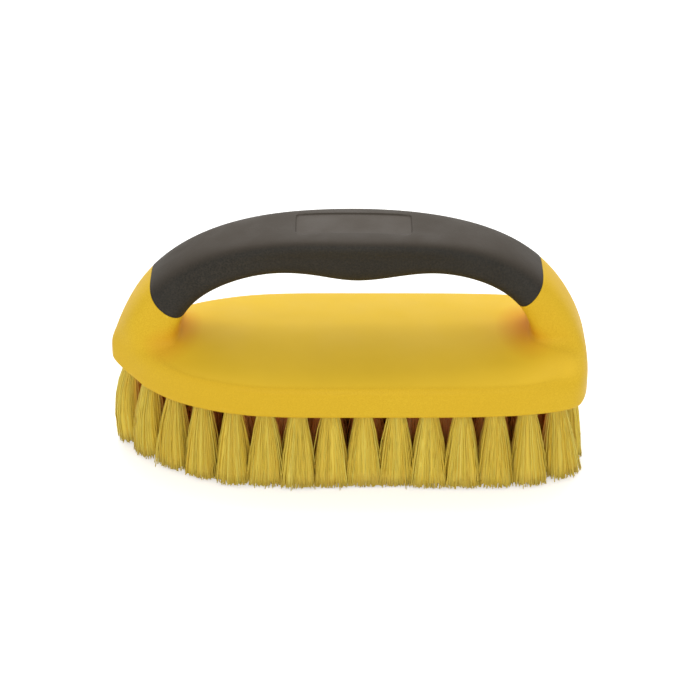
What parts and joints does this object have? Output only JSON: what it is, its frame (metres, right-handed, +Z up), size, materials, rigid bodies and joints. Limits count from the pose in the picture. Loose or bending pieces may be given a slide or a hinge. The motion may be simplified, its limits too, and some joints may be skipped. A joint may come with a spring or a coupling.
{
  "type": "scrub brush",
  "caption": "Hand scrub brush: a one-piece block with an arched handle, a soft grip moulded over the arch, and flaring tufts of bristles set in rows.",
  "frame": {"origin": "middle of the brush's footprint, on the surface that the bristle tips stand on", "axes": "+Z up through the handle, +X along the block's length from the pointed nose to the squarer heel, +Y across the block"},
  "size_m": [0.1525, 0.0658, 0.0786],
  "materials": {
    "moulded_yellow": "satin",
    "soft_charcoal": "matt",
    "yellow_filament": "satin"
  },
  "bodies": {
    "root": {"body_shell": "moulded_yellow", "grip": "soft_charcoal", "tuft_plate": "moulded_yellow", "tuft_inner_01": "yellow_filament", "tuft_inner_02": "yellow_filament", "tuft_inner_03": "yellow_filament", "tuft_inner_04": "yellow_filament", "tuft_inner_05": "yellow_filament", "tuft_inner_06": "yellow_filament", "tuft_middle_01": "yellow_filament", "tuft_middle_02": "yellow_filament", "tuft_middle_03": "yellow_filament", "tuft_middle_04": "yellow_filament", "tuft_middle_05": "yellow_filament", "tuft_middle_06": "yellow_filament", "tuft_middle_07": "yellow_filament", "tuft_middle_08": "yellow_filament", "tuft_middle_09": "yellow_filament", "tuft_middle_10": "yellow_filament", "tuft_middle_11": "yellow_filament", "tuft_middle_12": "yellow_filament", "tuft_middle_13": "yellow_filament", "tuft_middle_14": "yellow_filament", "tuft_middle_15": "yellow_filament", "tuft_middle_16": "yellow_filament", "tuft_middle_17": "yellow_filament", "tuft_middle_18": "yellow_filament", "tuft_middle_19": "yellow_filament", "tuft_outer_01": "yellow_filament", "tuft_outer_02": "yellow_filament", "tuft_outer_03": "yellow_filament", "tuft_outer_04": "yellow_filament", "tuft_outer_05": "yellow_filament", "tuft_outer_06": "yellow_filament", "tuft_outer_07": "yellow_filament", "tuft_outer_08": "yellow_filament", "tuft_outer_09": "yellow_filament", "tuft_outer_10": "yellow_filament", "tuft_outer_11": "yellow_filament", "tuft_outer_12": "yellow_filament", "tuft_outer_13": "yellow_filament", "tuft_outer_14": "yellow_filament", "tuft_outer_15": "yellow_filament", "tuft_outer_16": "yellow_filament", "tuft_outer_17": "yellow_filament", "tuft_outer_18": "yellow_filament", "tuft_outer_19": "yellow_filament", "tuft_outer_20": "yellow_filament", "tuft_outer_21": "yellow_filament", "tuft_outer_22": "yellow_filament", "tuft_outer_23": "yellow_filament", "tuft_outer_24": "yellow_filament", "tuft_outer_25": "yellow_filament", "tuft_outer_26": "yellow_filament", "tuft_outer_27": "yellow_filament", "tuft_outer_28": "yellow_filament", "tuft_outer_29": "yellow_filament", "tuft_outer_30": "yellow_filament", "tuft_outer_31": "yellow_filament", "tuft_outer_32": "yellow_filament"}
  },
  "joints": []
}
